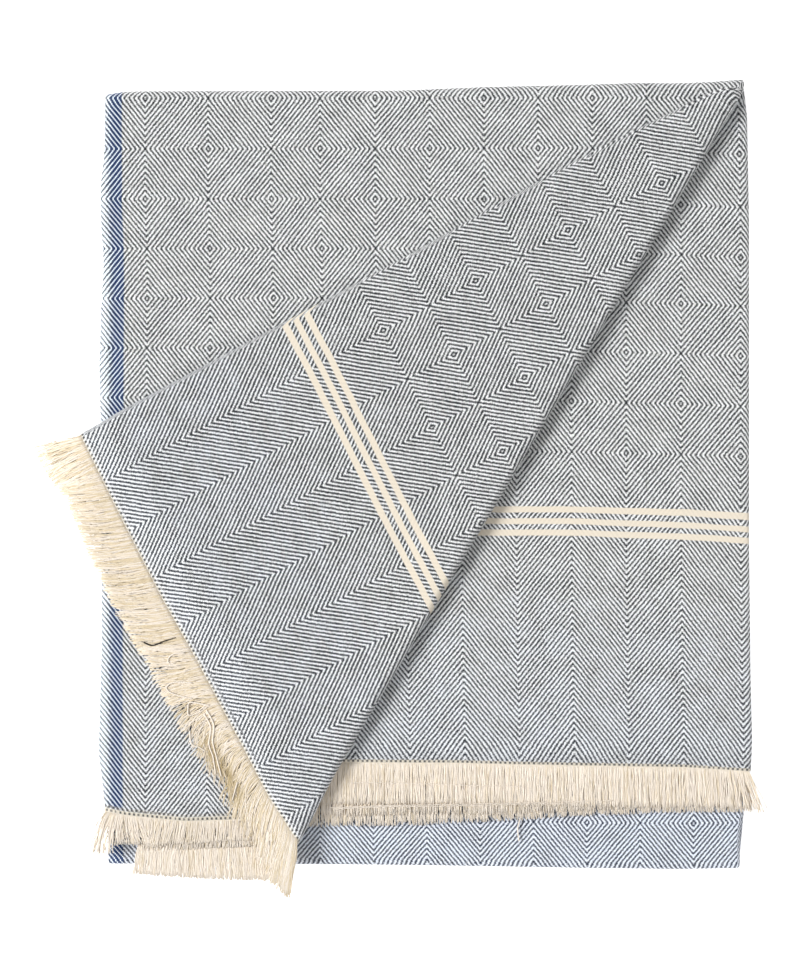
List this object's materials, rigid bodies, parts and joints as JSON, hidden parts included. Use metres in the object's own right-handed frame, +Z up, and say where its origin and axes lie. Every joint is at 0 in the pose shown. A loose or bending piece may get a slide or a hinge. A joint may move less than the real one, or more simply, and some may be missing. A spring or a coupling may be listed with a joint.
{
  "type": "folded khes blanket",
  "caption": "Woven cotton khes blanket with diamond twill, fringed ends and blue selvedge, folded flat with one top corner turned back across the stack.",
  "frame": {"origin": "middle of the whole outline, fringes included, at the height of the surface the blanket lies on", "axes": "+Z up from the surface, +Y away from the hems towards the far folded edge, +X towards the right-hand folded edge"},
  "size_m": [0.5566, 0.625, 0.0284],
  "materials": {
    "woven_cloth": "matte diamond twill of off-white and slate cotton yarn, cream triple stripe across each end, blue selvedge bands",
    "fringe_yarn": "matte unbleached cream cotton yarn, loosely twisted, knotted at the hem"
  },
  "bodies": {
    "root": {"cloth": "woven_cloth", "fringe_front_upper": "fringe_yarn", "fringe_front_middle": "fringe_yarn", "fringe_front_lowest": "fringe_yarn", "fringe_left_upper": "fringe_yarn", "fringe_left_middle": "fringe_yarn", "fringe_left_lower": "fringe_yarn", "fringe_corner_upper": "fringe_yarn", "fringe_corner_middle": "fringe_yarn", "fringe_corner_lowest": "fringe_yarn"}
  },
  "joints": []
}
